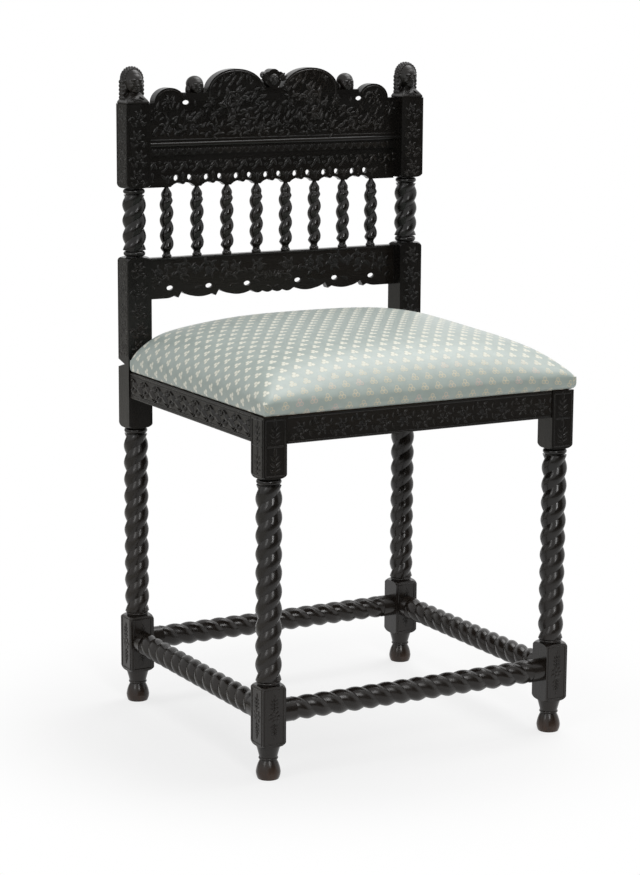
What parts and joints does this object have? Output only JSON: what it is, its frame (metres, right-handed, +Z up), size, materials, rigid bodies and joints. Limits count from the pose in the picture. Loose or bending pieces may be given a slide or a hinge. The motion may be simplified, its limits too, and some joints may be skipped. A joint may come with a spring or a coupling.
{
  "type": "side chair",
  "caption": "Dark carved side chair with rope-twist legs and stretchers, arched crest with pierced fringe over twist spindles, and a lift-off domed upholstered seat.",
  "frame": {"origin": "on the floor under the middle of the chair", "axes": "+Z up, -Y towards the sitter's front, +X to the right seen from the front"},
  "size_m": [0.474, 0.4336, 0.898],
  "materials": {
    "ebony": "oiled near-black carved wood with a satin sheen",
    "seat_wood": "plain sawn pale hardwood",
    "seat_fabric": "pale sea-green satin with small cream sprigs",
    "webbing": "jute webbing",
    "hessian": "coarse open hessian",
    "stuffing": "matted fibre",
    "dust_cloth": "thin black cotton"
  },
  "bodies": {
    "frame": {"front_leg_left": "ebony", "rear_post_left": "ebony", "finial_left": "ebony", "seat_rail_left": "ebony", "stretcher_left": "ebony", "glue_block_front_left": "seat_wood", "glue_block_rear_left": "seat_wood", "front_leg_right": "ebony", "rear_post_right": "ebony", "finial_right": "ebony", "seat_rail_right": "ebony", "stretcher_right": "ebony", "glue_block_front_right": "seat_wood", "glue_block_rear_right": "seat_wood", "seat_rail_front": "ebony", "seat_rail_rear": "ebony", "stretcher_front": "ebony", "stretcher_rear": "ebony", "back_rail": "ebony", "frieze_rail": "ebony", "crest_moulding": "ebony", "crest_board": "ebony", "spindle_1": "ebony", "spindle_2": "ebony", "spindle_3": "ebony", "spindle_4": "ebony", "spindle_5": "ebony", "spindle_6": "ebony", "spindle_7": "ebony", "spindle_8": "ebony"},
    "seat": {"seat_frame_left": "seat_wood", "seat_frame_right": "seat_wood", "seat_frame_front": "seat_wood", "seat_frame_rear": "seat_wood", "seat_cleat_left": "seat_wood", "seat_cleat_right": "seat_wood", "webbing_long_1": "webbing", "webbing_long_2": "webbing", "webbing_long_3": "webbing", "webbing_cross_1": "webbing", "webbing_cross_2": "webbing", "webbing_cross_3": "webbing", "hessian": "hessian", "dust_cloth": "dust_cloth", "stuffing": "stuffing", "seat_cover": "seat_fabric"}
  },
  "joints": [
    {"name": "seat_lift", "type": "slide", "parent": "frame", "child": "seat", "axis": [0, 0, 1], "range_m": [0, 0.15]}
  ]
}
